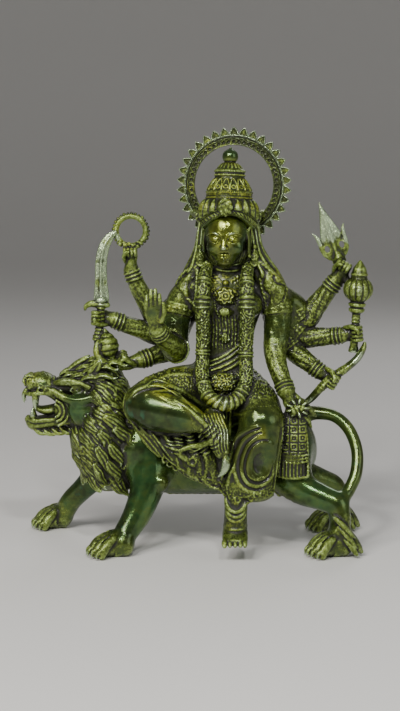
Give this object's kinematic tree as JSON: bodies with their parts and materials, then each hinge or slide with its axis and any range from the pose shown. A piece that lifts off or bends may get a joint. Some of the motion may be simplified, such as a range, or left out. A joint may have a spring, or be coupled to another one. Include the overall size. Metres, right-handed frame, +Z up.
{
  "type": "durga figure",
  "caption": "Cast bronze goddess with many arms, tall crown and toothed ring halo, seated sideways on a striding open-mouthed lion.",
  "frame": {"origin": "on the surface the figure stands on, under the middle of its bounding box", "axes": "+Z up; the goddess faces -Y; the lion faces -X and its tail is towards +X"},
  "size_m": [0.2946, 0.1336, 0.3508],
  "materials": {
    "dark_bronze": "polished dark green bronze with yellow-green patina",
    "bronze": "dark green bronze with yellow-olive patina in the carving",
    "halo_bronze": "olive bronze, satin"
  },
  "bodies": {
    "root": {"lion": "dark_bronze", "goddess": "bronze", "halo": "halo_bronze"}
  },
  "joints": []
}
